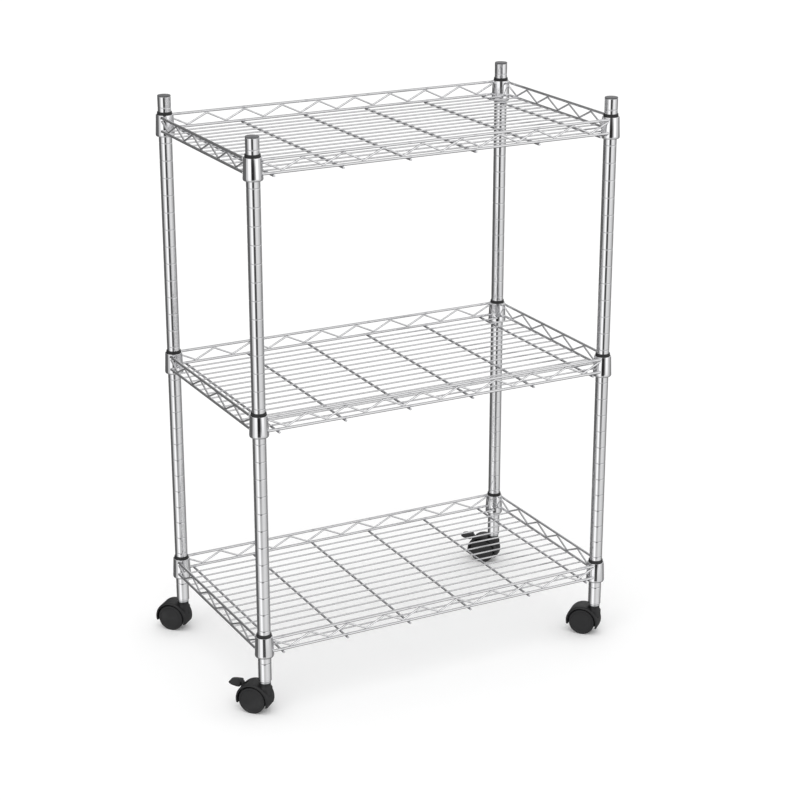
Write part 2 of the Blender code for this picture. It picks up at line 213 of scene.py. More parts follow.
outline = [(POST_BORE, POST_TOP), (POST_RADIUS - TOP_EDGE, POST_TOP), (POST_RADIUS, POST_TOP - TOP_EDGE)]
groove_count = int((POST_TOP - PLAIN_TOP - FIRST_GROOVE) / GROOVE_PITCH) + 1
for index in reversed(range(groove_count)):
    for step in range(GROOVE_STEPS + 1, -GROOVE_STEPS - 2, -1):
        cut = GROOVE_DEPTH * (1 + math.cos(math.pi * min(abs(step) / GROOVE_STEPS, 1.0))) / 2
        height = FIRST_GROOVE + index * GROOVE_PITCH + GROOVE_HALF_WIDTH * step / GROOVE_STEPS
        outline.append((POST_RADIUS - cut, height))
outline += [
    (POST_RADIUS, POST_BOTTOM + FOOT_EDGE),
    (POST_RADIUS - FOOT_EDGE, POST_BOTTOM),
    (INSERT_BORE, POST_BOTTOM),
    (INSERT_BORE, POST_BOTTOM + INSERT_HEIGHT),
    (POST_BORE, POST_BOTTOM + INSERT_HEIGHT),
]
post_mesh = turned("post", outline)

chrome_tube, tube, tube_inputs, place = surface("chrome_tube")
height = tube.node("ShaderNodeSeparateXYZ", None, {"Vector": place}, "Z")
drawn_lines = tube.noise(tube.stretched(place, (900.0, 900.0, 14.0)), 1.0, 3.0)
haze = tube.noise(place, 60.0, 4.0)
in_groove = height.near(FIRST_GROOVE, GROOVE_PITCH, GROOVE_HALF_WIDTH * 0.4, GROOVE_HALF_WIDTH)
feed(tube_inputs, {
    "Base Color": tube.blend(0.30 * haze + 0.4 * in_groove, (0.80, 0.80, 0.81), (0.62, 0.62, 0.64)),
    "Roughness": 0.03 + 0.05 * haze + 0.03 * drawn_lines + 0.08 * in_groove,
    "Metallic": 1.0,
    "Normal": tube.bump(drawn_lines, 0.015, 0.0002),
})

for corner in CORNERS:
    piece(f"tube_{corner}", post_mesh, Matrix.Translation(post_axis[corner]), chrome_tube, "cart",
          f"post_{corner}")


# Post caps: moulded plugs of dark grey plastic pushed into the top of each tube.
# The thin head is as wide as the tube and has a rounded edge and a flat top.
CAP_TOP = 0.8323
CAP_BASE = 0.8308
CAP_ROUND = 0.0006
CAP_PLUG = 0.0079
CAP_PLUG_END = 0.8198
CAP_PLUG_EDGE = 0.0010


def arc(centre, radius, start, stop, steps):
    """Points along an arc in a plane."""
    turns = [start + (stop - start) * step / steps for step in range(steps + 1)]
    return [(centre[0] + radius * math.cos(turn), centre[1] + radius * math.sin(turn)) for turn in turns]


outline = [
    (0.0, CAP_TOP),
    *arc((POST_RADIUS - CAP_ROUND, CAP_TOP - CAP_ROUND), CAP_ROUND, math.pi / 2, 0.0, 6),
    (POST_RADIUS, CAP_BASE),
    (CAP_PLUG, CAP_BASE),
    (CAP_PLUG, CAP_PLUG_END + CAP_PLUG_EDGE),
    (CAP_PLUG - CAP_PLUG_EDGE, CAP_PLUG_END),
    (0.0, CAP_PLUG_END),
]
cap_mesh = turned("cap", outline)


def moulded(name, colour, worn, roughness, grain):
    """Moulded plastic: fine spark-eroded grain, cloudy gloss and lighter rubbed patches."""
    made, start, inputs, place = surface(name)
    clouds = start.noise(place, 90.0, 4.0)
    speckle = start.noise(place, 2600.0, 2.0)
    rubbed = start.fade(start.noise(place, 35.0, 6.0), 0.52, 0.74)
    feed(inputs, {
        "Base Color": start.blend(0.55 * rubbed + 0.25 * speckle, colour, worn),
        "Roughness": roughness + 0.14 * clouds + 0.08 * speckle - 0.06 * rubbed,
        "Specular IOR Level": 0.36,
        "Normal": start.bump(speckle, grain, 0.0002),
    })
    return made


cap_plastic = moulded("cap_plastic", (0.105, 0.105, 0.110), (0.17, 0.17, 0.175), 0.36, 0.10)
for corner in CORNERS:
    piece(f"plug_{corner}", cap_mesh, Matrix.Translation(post_axis[corner]), cap_plastic, "cart",
          f"post_cap_{corner}")


# Split sleeves: two half shells of black plastic round the post inside every collar.
# Their outside tapers, so the shelf's collar wedges them onto the post, and their lip shows above it.
SHELF_TOPS = {"bottom": 0.1190, "middle": 0.4492, "top": 0.8048}
COLLAR_HEIGHT = 0.0310
COLLAR_TOP_BORE = 0.0111
COLLAR_BOTTOM_BORE = 0.0123
SLEEVE_CLEARANCE = 0.0003
SLEEVE_STAND = 0.0040
SLEEVE_FOOT = 0.0010
SLEEVE_LIP = 0.0004
SLIT_ANGLE = math.radians(2.3)

taper = (COLLAR_BOTTOM_BORE - COLLAR_TOP_BORE) / COLLAR_HEIGHT
sleeve_bore = POST_RADIUS + SLEEVE_CLEARANCE
lip = COLLAR_TOP_BORE - SLEEVE_CLEARANCE - taper * SLEEVE_STAND
foot = SLEEVE_FOOT - COLLAR_HEIGHT
outline = [
    (sleeve_bore, SLEEVE_STAND),
    (lip - SLEEVE_LIP, SLEEVE_STAND),
    (lip - SLEEVE_LIP * 0.3, SLEEVE_STAND - SLEEVE_LIP * 0.3),
    (lip, SLEEVE_STAND - SLEEVE_LIP),
    (COLLAR_TOP_BORE - SLEEVE_CLEARANCE - taper * foot, foot),
    (sleeve_bore, foot),
]
half_sleeves = {
    "a": turned("sleeve_half", outline, 24, math.pi + SLIT_ANGLE, 2 * math.pi - SLIT_ANGLE),
    "b": turned("sleeve_half", outline, 24, SLIT_ANGLE, math.pi - SLIT_ANGLE),
}
sleeve_plastic = moulded("sleeve_plastic", (0.014, 0.014, 0.015), (0.030, 0.030, 0.031), 0.40, 0.08)
for level, top in SHELF_TOPS.items():
    for corner in CORNERS:
        for half, data in half_sleeves.items():
            seat = Matrix.Translation(post_axis[corner] + Vector((0.0, 0.0, top)))
            piece(f"shell_{level}_{corner}_{half}", data, seat, sleeve_plastic, "cart",
                  f"sleeve_{level}_{corner}_{half}")


# Shelves: welded trays of steel wire, chrome plated after welding. Deck wires lie across heavier cross
# wires, two rim wires with a zigzag between them run round the edge, and a tapered collar at each
# corner slides down over the sleeves.
RIM_WIRE = 0.0020
RIM_OFFSET = 0.0086
RIM_DROP = 0.0030
RIM_HEIGHT = 0.0192
ZIGZAG_WIRE = 0.0014
ZIGZAG_PITCH = 0.0595
ZIGZAG_BEND = 0.0040
BEND_RISE = 0.00036
ZIGZAG_INSET = 0.0003
ZIGZAG_END_RISE = 0.0040
WELD_SINK = 0.0005
LONG_PEAKS = 8
SHORT_PEAKS = 4
DECK_WIRE = 0.0012
DECK_WIRES = 15
CROSS_WIRE = 0.0017
CROSS_WIRES = 6
CROSS_SPAN = 0.5040
CROSS_OVERHANG = 0.0050
BEAD_RADIUS = 0.0016
CROSSING_BEAD = (1.0, 1.0, 0.7)
BEND_BEAD = (1.5, 0.85, 0.5)
COLLAR_BEAD = (0.8, 1.5, 1.5)
COLLAR_BEAD_REACH = 0.0100
WELD_MARGIN = 0.00015
WELD_HAZE = (0.0010, 0.0042)

post_x = post_axis["front_right"].x
post_y = post_axis["back_right"].y
rim_x = post_x + RIM_OFFSET
rim_y = post_y + RIM_OFFSET
top_wire = -RIM_DROP
low_wire = top_wire - RIM_HEIGHT
cross_level = low_wire - RIM_WIRE - CROSS_WIRE + WELD_SINK
deck_level = cross_level + CROSS_WIRE + DECK_WIRE - WELD_SINK
deck_pitch = 2 * rim_y / (DECK_WIRES + 1)
outer_row = deck_pitch * (DECK_WIRES - 1) / 2
cross_pitch = CROSS_SPAN / (CROSS_WIRES - 1)


def inside_collar(height, offset):
    """How far from a post's axis a wire ends, within the collar's wall."""
    return math.sqrt((COLLAR_TOP_BORE - taper * height + WELD_MARGIN) ** 2 - offset**2)


shelf_tree = bpy.data.node_groups.new("wire_shelf", "GeometryNodeTree")
SHELF_INPUTS = {
    "Level": 0.0,
    "Rim Wire": RIM_WIRE,
    "Zigzag Wire": ZIGZAG_WIRE,
    "Zigzag Pitch": ZIGZAG_PITCH,
    "Zigzag Bend": ZIGZAG_BEND,
    "Deck Wire": DECK_WIRE,
    "Deck Pitch": deck_pitch,
    "Deck Wires": DECK_WIRES - 2,
    "Cross Wire": CROSS_WIRE,
    "Cross Pitch": cross_pitch,
    "Cross Wires": CROSS_WIRES,
    "Bead": BEAD_RADIUS,
}
for label, value in SHELF_INPUTS.items():
    kind = "NodeSocketInt" if isinstance(value, int) else "NodeSocketFloat"
    shelf_tree.interface.new_socket(label, in_out="INPUT", socket_type=kind)
shelf_tree.interface.new_socket("Finish", in_out="INPUT", socket_type="NodeSocketMaterial")
shelf_tree.interface.new_socket("Shelf", in_out="OUTPUT", socket_type="NodeSocketGeometry")
shelf = Signal(shelf_tree)
given = shelf_tree.nodes.new("NodeGroupInput")
size = {label: Signal(shelf_tree, given.outputs[label]) for label in (*SHELF_INPUTS, "Finish")}


def spot(x, y, z):
    """A point or direction from three numbers or signals."""
    return shelf.node("ShaderNodeCombineXYZ", None, {"X": x, "Y": y, "Z": z})


def round_wire(path, radius, sides=12):
    """A path with a round section and flat cut ends."""
    ring = shelf.node("GeometryNodeCurvePrimitiveCircle", None, {"Resolution": sides, "Radius": radius})
    return shelf.node("GeometryNodeCurveToMesh", None, {
        "Curve": path, "Profile Curve": ring, "Fill Caps": True})


def wire_row(count, first, step, start, end, radius):
    """Equal straight wires in a row."""
    line = shelf.node("GeometryNodeCurvePrimitiveLine", None, {"Start": start, "End": end})
    spots = shelf.node("GeometryNodeMeshLine", None, {
        "Count": count, "Start Location": first, "Offset": step})
    wire = round_wire(line, radius)
    return shelf.node("GeometryNodeInstanceOnPoints", None, {"Points": spots, "Instance": wire})


def beads(spots, x, y, z):
    """Weld beads at points, stretched from a small ball."""
    ball = shelf.node("GeometryNodeMeshUVSphere", None, {"Segments": 8, "Rings": 5, "Radius": size["Bead"]})
    return shelf.node("GeometryNodeInstanceOnPoints", None, {
        "Points": spots, "Instance": ball, "Scale": (x, y, z)})


def together(parts):
    """Several geometries as one."""
    joint = shelf_tree.nodes.new("GeometryNodeJoinGeometry")
    for part in parts:
        shelf_tree.links.new(part.socket, joint.inputs[0])
    return Signal(shelf_tree, joint.outputs[0])


def zigzag(peaks, reach):
    """A zigzag wire along X with rounded bends, welded at each one, its ends running up into the collars."""
    count = 2 * peaks + 3
    half_pitch = size["Zigzag Pitch"] / 2
    spots = shelf.node("GeometryNodeMeshLine", None, {"Count": count})
    index = shelf.node("GeometryNodeInputIndex")
    along = (index - (peaks + 1)) * half_pitch
    along = along.math("MINIMUM", along.math("MAXIMUM", along, -reach), reach)
    valley = low_wire + size["Rim Wire"] + size["Zigzag Wire"] - WELD_SINK
    rise = RIM_HEIGHT - 2 * (size["Rim Wire"] + size["Zigzag Wire"] - WELD_SINK)
    wave = along.math("PINGPONG", along / half_pitch + peaks, 1.0)
    height = valley - BEND_RISE + wave * (rise + 2 * BEND_RISE)
    bent = shelf.node("GeometryNodeSetPosition", None, {
        "Geometry": spots, "Position": spot(along, 0.0, height)})
    path = shelf.node("GeometryNodeMeshToCurve", None, {"Mesh": bent})
    corners = {"Curve": path, "Count": 6, "Radius": size["Zigzag Bend"], "Limit Radius": True}
    curved = shelf.node("GeometryNodeFilletCurve", {"mode": "POLY"}, corners)
    parts = [round_wire(curved, size["Zigzag Wire"], 10)]
    for bends, level in ((peaks, top_wire - RIM_WIRE), (peaks + 1, low_wire + RIM_WIRE)):
        row = shelf.node("GeometryNodeMeshLine", None, {
            "Count": bends, "Start Location": spot((1 - bends) * half_pitch, 0.0, level),
            "Offset": spot(size["Zigzag Pitch"], 0.0, 0.0)})
        parts.append(beads(row, *BEND_BEAD))
    return together(parts)


def moved(what, x, y, z, turn=0.0):
    """A geometry turned about Z and moved."""
    return shelf.node("GeometryNodeTransform", None, {
        "Geometry": what, "Translation": spot(x, y, z), "Rotation": (0.0, 0.0, turn)})


wires = []
for level in (top_wire, low_wire):
    stop = inside_collar(level, RIM_OFFSET - RIM_WIRE)
    end_x = post_x - stop
    end_y = post_y - stop
    wires.append(wire_row(2, (0.0, -rim_y, level), (0.0, 2 * rim_y, 0.0), (-end_x, 0.0, 0.0),
                          (end_x, 0.0, 0.0), size["Rim Wire"]))
    wires.append(wire_row(2, (-rim_x, 0.0, level), (2 * rim_x, 0.0, 0.0), (0.0, -end_y, 0.0),
                          (0.0, end_y, 0.0), size["Rim Wire"]))
    for long_way, half, edge in ((0.0, post_x, rim_y), (math.pi / 2, post_y, rim_x)):
        corners = shelf.node("GeometryNodeMeshGrid", None, {
            "Size X": 2 * (half - COLLAR_BEAD_REACH), "Size Y": 2 * edge, "Vertices X": 2, "Vertices Y": 2})
        wires.append(moved(beads(corners, *COLLAR_BEAD), 0.0, 0.0, level, long_way))
collar_reach = inside_collar(low_wire + ZIGZAG_END_RISE, RIM_OFFSET - ZIGZAG_INSET - ZIGZAG_WIRE)
long_zigzag = zigzag(LONG_PEAKS, post_x - collar_reach)
short_zigzag = zigzag(SHORT_PEAKS, post_y - collar_reach)
for side in (-1, 1):
    wires.append(moved(long_zigzag, 0.0, side * (rim_y - ZIGZAG_INSET), 0.0))
    wires.append(moved(short_zigzag, side * (rim_x - ZIGZAG_INSET), 0.0, 0.0, math.pi / 2))
full_rows = size["Deck Wires"]
first_row = spot(0.0, -(full_rows - 1) * size["Deck Pitch"] / 2, deck_level)
wires.append(wire_row(full_rows, first_row, spot(0.0, size["Deck Pitch"], 0.0), (-rim_x, 0.0, 0.0),
                      (rim_x, 0.0, 0.0), size["Deck Wire"]))
short_row = post_x - inside_collar(deck_level, post_y - outer_row - DECK_WIRE)
wires.append(wire_row(2, (0.0, -outer_row, deck_level), (0.0, 2 * outer_row, 0.0), (-short_row, 0.0, 0.0),
                      (short_row, 0.0, 0.0), size["Deck Wire"]))
reach = rim_y + CROSS_OVERHANG
columns = size["Cross Wires"]
first_column = spot(-(columns - 1) * size["Cross Pitch"] / 2, 0.0, cross_level)
wires.append(wire_row(columns, first_column, spot(size["Cross Pitch"], 0.0, 0.0), (0.0, -reach, 0.0),
                      (0.0, reach, 0.0), size["Cross Wire"]))
crossings = shelf.node("GeometryNodeMeshGrid", None, {
    "Size X": (columns - 1) * size["Cross Pitch"], "Size Y": (full_rows + 1) * size["Deck Pitch"],
    "Vertices X": columns, "Vertices Y": full_rows + 2})
bead_level = (cross_level + CROSS_WIRE + deck_level - DECK_WIRE) / 2
wires.append(moved(beads(crossings, *CROSSING_BEAD), 0.0, 0.0, bead_level))
raised = moved(together(wires), 0.0, 0.0, size["Level"])
whole = shelf.node("GeometryNodeRealizeInstances", None, {"Geometry": raised})
coated = shelf.node("GeometryNodeSetMaterial", None, {"Geometry": whole, "Material": size["Finish"]})
shelf_tree.links.new(coated.socket, shelf_tree.nodes.new("NodeGroupOutput").inputs[0])

chrome_wire, plating, wire_inputs, place = surface("chrome_wire")
along_x = plating.node("ShaderNodeSeparateXYZ", None, {"Vector": place}, "X")
haze = plating.noise(place, 75.0, 4.0)
pits = plating.noise(place, 900.0, 2.0)
at_weld = along_x.near(CROSS_SPAN / 2, cross_pitch, *WELD_HAZE)
feed(wire_inputs, {
    "Base Color": plating.blend(0.35 * haze + 0.45 * at_weld, (0.78, 0.78, 0.79), (0.54, 0.54, 0.56)),
    "Roughness": 0.04 + 0.05 * haze + 0.03 * pits + 0.14 * at_weld,
    "Metallic": 1.0,
    "Normal": plating.bump(pits, 0.015, 0.0002),
})

collar_outline = [
    (COLLAR_TOP_BORE + 0.0002, 0.0),
    (0.0121, 0.0),
    (0.0124, -0.00015),
    (0.0125, -0.0006),
    (0.01355, -0.0262),
    (0.0137, -0.0274),
    (0.0137, -0.0286),
    (0.01355, -0.0297),
    (0.0132, -0.0306),
    (0.0127, -0.0310),
    (0.0124, -0.0309),
    (COLLAR_BOTTOM_BORE, -0.0305),
    (COLLAR_TOP_BORE, -0.0003),
]
collar_mesh = turned("collar", collar_outline, 56)


def taken(item):
    """The evaluated mesh of a working object, which is removed."""
    bpy.context.view_layer.update()
    data = bpy.data.meshes.new_from_object(item.evaluated_get(bpy.context.evaluated_depsgraph_get()))
    bpy.data.objects.remove(item, do_unlink=True)
    return data


for level, top in SHELF_TOPS.items():
    carrier = bpy.data.objects.new("carrier", bpy.data.meshes.new("carrier"))
    bpy.context.scene.collection.objects.link(carrier)
    weave = carrier.modifiers.new("wires", "NODES")
    weave.node_group = shelf_tree
    for item in shelf_tree.interface.items_tree:
        if item.in_out == "INPUT":
            weave[item.identifier] = {**SHELF_INPUTS, "Level": top, "Finish": chrome_wire}[item.name]
    tray = bmesh.new()
    tray.from_mesh(taken(carrier))
    for corner in CORNERS:
        collar = collar_mesh.copy()
        collar.transform(Matrix.Translation(post_axis[corner] + Vector((0.0, 0.0, top))))
        tray.from_mesh(collar)
    welded = bpy.data.meshes.new(f"tray_{level}")
    tray.to_mesh(welded)
    tray.free()
    piece(f"tray_{level}", welded, Matrix.Identity(4), chrome_wire, "cart", f"shelf_{level}")


# Caster stems: zinc-plated steel, with a screw up into the post, a flange that the post stands on
# and a smooth pin below, on which the hood swivels.
STEM_TOP = 0.0700
STEM_RADIUS = 0.0040
STEM_PIN = 0.0035
STEM_PIN_END = 0.0260
STEM_PIN_EDGE = 0.0006
FLANGE_RADIUS = 0.0085
FLANGE_TOP = 0.0497
FLANGE_BOTTOM = 0.0467
FLANGE_EDGE = 0.0004
THREAD_PITCH = 0.00125
THREAD_DEPTH = 0.0005
THREAD_RELIEF = 0.0020

outline = [(0.0, STEM_TOP), (STEM_RADIUS - THREAD_DEPTH, STEM_TOP)]
turns = int((STEM_TOP - FLANGE_TOP - THREAD_RELIEF) / THREAD_PITCH)
for turn in range(turns):
    crest = STEM_TOP - (turn + 1) * THREAD_PITCH
    outline += [(STEM_RADIUS, crest), (STEM_RADIUS - THREAD_DEPTH, crest - THREAD_PITCH / 2)]
outline += [
    (STEM_RADIUS - THREAD_DEPTH, FLANGE_TOP),
    (FLANGE_RADIUS - FLANGE_EDGE, FLANGE_TOP),
    (FLANGE_RADIUS, FLANGE_TOP - FLANGE_EDGE),
    (FLANGE_RADIUS, FLANGE_BOTTOM + FLANGE_EDGE),
    (FLANGE_RADIUS - FLANGE_EDGE, FLANGE_BOTTOM),
    (STEM_PIN, FLANGE_BOTTOM),
    (STEM_PIN, STEM_PIN_END + STEM_PIN_EDGE),
    (STEM_PIN - STEM_PIN_EDGE, STEM_PIN_END),
    (0.0, STEM_PIN_END),
]
stem_mesh = turned("stem", outline)

zinc_steel, zinc, zinc_inputs, place = surface("zinc_steel")
spangle = zinc.noise(place, 320.0, 3.0)
feed(zinc_inputs, {
    "Base Color": zinc.blend(spangle, (0.56, 0.57, 0.58), (0.68, 0.69, 0.70)),
    "Roughness": 0.24 + 0.16 * spangle,
    "Metallic": 1.0,
    "Normal": zinc.bump(spangle, 0.06, 0.0002),
})
for corner in CORNERS:
    piece(f"stem_{corner}", stem_mesh, Matrix.Translation(post_axis[corner]), zinc_steel, "cart",
          f"caster_stem_{corner}")


# Caster hoods: one moulding of black plastic each, an arch over both wheels with a web between them,
# which carries the axle, and a boss in front that turns on the stem. Two hoods have a slot for a brake.
CASTER_HEADING = math.radians(132.5)
CASTER_TRAIL = 0.0162
WHEEL_RADIUS = 0.0200
HOOD_RADIUS = 0.0250
HOOD_HALF_WIDTH = 0.0140
HOOD_POCKET = 0.0222
HOOD_WEB = 0.0052
HOOD_BACK_SKIRT = math.radians(14)
HOOD_FRONT_SKIRT = math.radians(20)
HOOD_ROUND = 0.0027
BOSS_RADIUS = 0.0082
BOSS_TOP = 0.0464
BOSS_BOTTOM = 0.0275
BOSS_EDGE = 0.0006
BOSS_FLARE = 0.0021
FLARE_TOP = 0.0425
FLARE_BOTTOM = 0.0385
SOCKET_BOTTOM = 0.0240
CUT_PAST = 0.0100
AXLE_RADIUS = 0.0020
HOLE_GAP = 0.0003
BRAKED = ("front_left", "back_right")
LEVER_PIVOT = (0.0300, 0.0310)
LEVER_HALF_WIDTH = 0.0036
LEVER_SLOT = (math.radians(22), math.radians(66))
LEVER_SLOT_INNER = 0.0130
LEVER_SLOT_OUTER = 0.0274
PEG_RADIUS = 0.0015

axle_spot = (CASTER_TRAIL, WHEEL_RADIUS)
on_side = Matrix.Rotation(math.pi / 2, 4, "X")


def layered(name, layers):
    """A solid through like outlines in XZ planes, each at its own Y."""
    shape = bmesh.new()
    rings = [[shape.verts.new((x, y, z)) for x, z in outline] for y, outline in layers]
    shape.faces.new(rings[0])
    shape.faces.new(rings[-1])
    for here, there in zip(rings, rings[1:]):
        for index in range(len(here)):
            after = (index + 1) % len(here)
            shape.faces.new((here[index], here[after], there[after], there[index]))
    bmesh.ops.recalc_face_normals(shape, faces=shape.faces)
    data = bpy.data.meshes.new(name)
    shape.to_mesh(data)
    shape.free()
    return data


def slab(name, outline, half_width):
    """An outline in the XZ plane, given its width along Y."""
    return layered(name, [(-half_width, outline), (half_width, outline)])


def pin(name, radius, low, high, steps=40):
    """A plain cylinder along Z."""
    return turned(name, [(0.0, high), (radius, high), (radius, low), (0.0, low)], steps)


def rounded(data, width, segments=4):
    """A mesh with its sharp edges rounded over."""
    item = bpy.data.objects.new("blank", data)
    bpy.context.scene.collection.objects.link(item)
    soften = item.modifiers.new("round", "BEVEL")
    soften.width = width
    soften.segments = segments
    soften.limit_method = "ANGLE"
    soften.angle_limit = SHARP_ANGLE
    return taken(item)


def combined(base, steps):
    """A mesh joined with or cut by others in turn."""
    for operation, other in steps:
        item = bpy.data.objects.new("blank", base)
        tool = bpy.data.objects.new("tool", other)
        for thing in (item, tool):
            bpy.context.scene.collection.objects.link(thing)
        step = item.modifiers.new("step", "BOOLEAN")
        step.operation = operation
        step.solver = "EXACT"
        step.object = tool
        base = taken(item)
        bpy.data.objects.remove(tool, do_unlink=True)
    return base


def at(data, x, y, z, turn=None):
    """A mesh turned and then moved."""
    data.transform(Matrix.Translation((x, y, z)) @ (turn or Matrix.Identity(4)))
    return data


def hood(braked):
    """The hood in its own frame on the post's axis, trailing along +X."""
    edge = arc((HOOD_HALF_WIDTH - HOOD_ROUND, HOOD_RADIUS - HOOD_ROUND), HOOD_ROUND, 0.0, math.pi / 2, 6)
    across = [(-y, radius) for y, radius in edge] + edge[::-1]
    back, front = -HOOD_BACK_SKIRT, math.pi + HOOD_FRONT_SKIRT
    shell = layered("hood", [(y, arc(axle_spot, radius, back, front, 64)) for y, radius in across])
    neck = [
        (0.0, BOSS_TOP),
        (BOSS_RADIUS - BOSS_EDGE, BOSS_TOP),
        (BOSS_RADIUS, BOSS_TOP - BOSS_EDGE),
        (BOSS_RADIUS, FLARE_TOP),
        (BOSS_RADIUS + BOSS_EDGE, (FLARE_TOP + FLARE_BOTTOM) / 2),
        (BOSS_RADIUS + BOSS_FLARE, FLARE_BOTTOM),
        (BOSS_RADIUS + BOSS_FLARE, BOSS_BOTTOM),
        (0.0, BOSS_BOTTOM),
    ]
    steps = [("UNION", turned("neck", neck))]
    for side in (-1, 1):
        pocket = pin("pocket", HOOD_POCKET, 0.0, 2 * CUT_PAST, 96)
        steps.append(("DIFFERENCE", at(pocket, axle_spot[0], side * HOOD_WEB, axle_spot[1],
                                       Matrix.Rotation(-side * math.pi / 2, 4, "X"))))
    steps.append(("DIFFERENCE", pin("socket", STEM_PIN + HOLE_GAP, SOCKET_BOTTOM, BOSS_TOP + CUT_PAST)))
    bore = pin("bore", AXLE_RADIUS + HOLE_GAP, -HOOD_HALF_WIDTH, HOOD_HALF_WIDTH)
    steps.append(("DIFFERENCE", at(bore, axle_spot[0], 0.0, axle_spot[1], on_side)))
    if braked:
        start, stop = LEVER_SLOT
        window = arc(axle_spot, LEVER_SLOT_OUTER, start, stop, 12)
        window += arc(axle_spot, LEVER_SLOT_INNER, stop, start, 2)
        steps.append(("DIFFERENCE", slab("window", window, LEVER_HALF_WIDTH + HOLE_GAP)))
        eye = pin("eye", PEG_RADIUS + HOLE_GAP, -HOOD_HALF_WIDTH, HOOD_HALF_WIDTH, 24)
        steps.append(("DIFFERENCE", at(eye, LEVER_PIVOT[0], 0.0, LEVER_PIVOT[1], on_side)))
    return combined(shell, steps)


hood_plastic = moulded("hood_plastic", (0.012, 0.012, 0.013), (0.026, 0.026, 0.027), 0.38, 0.12)
caster_place = {corner: Matrix.Translation(post_axis[corner]) @ Matrix.Rotation(CASTER_HEADING, 4, "Z")
                for corner in CORNERS}
plain_hood = hood(False)
brake_hood = hood(True)
for corner in CORNERS:
    data = brake_hood if corner in BRAKED else plain_hood
    piece(f"hood_{corner}", data, caster_place[corner], hood_plastic, f"caster_{corner}",
          f"caster_hood_{corner}")


# Axles: a short zinc-plated steel pin through each hood's web.
# A wheel is pushed onto each end, and its closed face hides the pin.
AXLE_HALF = 0.0108
AXLE_EDGE = 0.0004

outline = [
    (0.0, AXLE_HALF),
    (AXLE_RADIUS - AXLE_EDGE, AXLE_HALF),
    (AXLE_RADIUS, AXLE_HALF - AXLE_EDGE),
    (AXLE_RADIUS, AXLE_EDGE - AXLE_HALF),
    (AXLE_RADIUS - AXLE_EDGE, -AXLE_HALF),
    (0.0, -AXLE_HALF),
]
axle_mesh = turned("axle", outline, 32)
on_axle = Matrix.Translation((axle_spot[0], 0.0, axle_spot[1]))
for corner in CORNERS:
    piece(f"spindle_{corner}", axle_mesh, caster_place[corner] @ on_axle @ on_side, zinc_steel,
          f"caster_{corner}", f"axle_{corner}")


# Wheels: moulded black nylon discs, two to a caster, each turning by itself. The tread has rounded
# edges and the outer face is a smooth shallow dish inside a narrow rim.
WHEEL_INNER = 0.0056
WHEEL_OUTER = 0.0139
HUB_BORE = 0.0023
HUB_DEPTH = 0.0055
TREAD_ROUND = 0.0016
DISH = [(0.0, 0.0006), (0.0100, 0.0007), (0.0152, 0.0010), (0.0161, 0.0009), (0.0167, 0.0002), (0.0172, 0.0)]

tread = WHEEL_RADIUS - TREAD_ROUND
outline = [
    *((radius, WHEEL_OUTER - depth) for radius, depth in DISH),
    *arc((tread, WHEEL_OUTER - TREAD_ROUND), TREAD_ROUND, math.pi / 2, 0.0, 6),
    *arc((tread, WHEEL_INNER + TREAD_ROUND), TREAD_ROUND, 0.0, -math.pi / 2, 6),
    (HUB_BORE, WHEEL_INNER),
    (HUB_BORE, WHEEL_INNER + HUB_DEPTH),
    (0.0, WHEEL_INNER + HUB_DEPTH),
]
wheel_mesh = turned("wheel", outline, 72)

wheel_plastic = moulded("wheel_plastic", (0.013, 0.013, 0.014), (0.026, 0.026, 0.027), 0.44, 0.08)
for corner in CORNERS:
    for letter, turn in (("a", -math.pi / 2), ("b", math.pi / 2)):
        spun = caster_place[corner] @ on_axle @ Matrix.Rotation(turn, 4, "X")
        piece(f"roller_{corner}_{letter}", wheel_mesh, spun, wheel_plastic, f"wheel_{corner}_{letter}",
              f"wheel_{corner}_{letter}")


# Brake levers: a black moulded pedal on two of the casters. Its arm turns on two pegs in the hood's
# slot, and a blunt paddle outside is pressed down with the foot.
PADDLE_HALF_WIDTH = 0.0065
PADDLE_ROUND = 0.0014
ARM_ROUND = 0.0006
PEG_HALF = 0.0049
ARM = [(-0.0030, -0.0020), (-0.0015, -0.0036), (0.0010, -0.0040), (0.0085, 0.0075), (0.0090, 0.0120),
       (0.0040, 0.0115)]
PADDLE = [(0.0068, 0.0051), (0.0110, 0.0038), (0.0170, 0.0046), (0.0219, 0.0060), (0.0245, 0.0084),
          (0.0234, 0.0106), (0.0190, 0.0122), (0.0120, 0.0130), (0.0059, 0.0124)]


def eased(points, steps=5):
    """A closed outline with a smooth curve through its points."""
    out = []
    for index, here in enumerate(points):
        before, after, beyond = (points[(index + shift) % len(points)] for shift in (-1, 1, 2))
        for step in range(steps):
            t = step / steps
            out.append(tuple(
                b + 0.5 * t * (c - a + t * (2 * a - 5 * b + 4 * c - d + t * (3 * b - a - 3 * c + d)))
                for a, b, c, d in zip(before, here, after, beyond)))
    return out


paddle = rounded(slab("paddle", eased(PADDLE), PADDLE_HALF_WIDTH), PADDLE_ROUND)
arm = rounded(slab("arm", ARM, LEVER_HALF_WIDTH), ARM_ROUND, 2)
pegs = at(pin("pegs", PEG_RADIUS, -PEG_HALF, PEG_HALF, 24), 0.0, 0.0, 0.0, on_side)
lever_mesh = combined(paddle, [("UNION", arm), ("UNION", pegs)])
on_pivot = Matrix.Translation((LEVER_PIVOT[0], 0.0, LEVER_PIVOT[1]))
for corner in BRAKED:
    piece(f"pedal_{corner}", lever_mesh, caster_place[corner] @ on_pivot, hood_plastic, f"brake_{corner}",
          f"brake_lever_{corner}")


# Floor: a white paper sweep under the cart, matt enough to hold its soft shadow and lifted a little
# for the camera. Mirror-bright metal looks past it into the studio all round.
FLOOR_HALF = 8.0
FLOOR_LIFT = 0.055

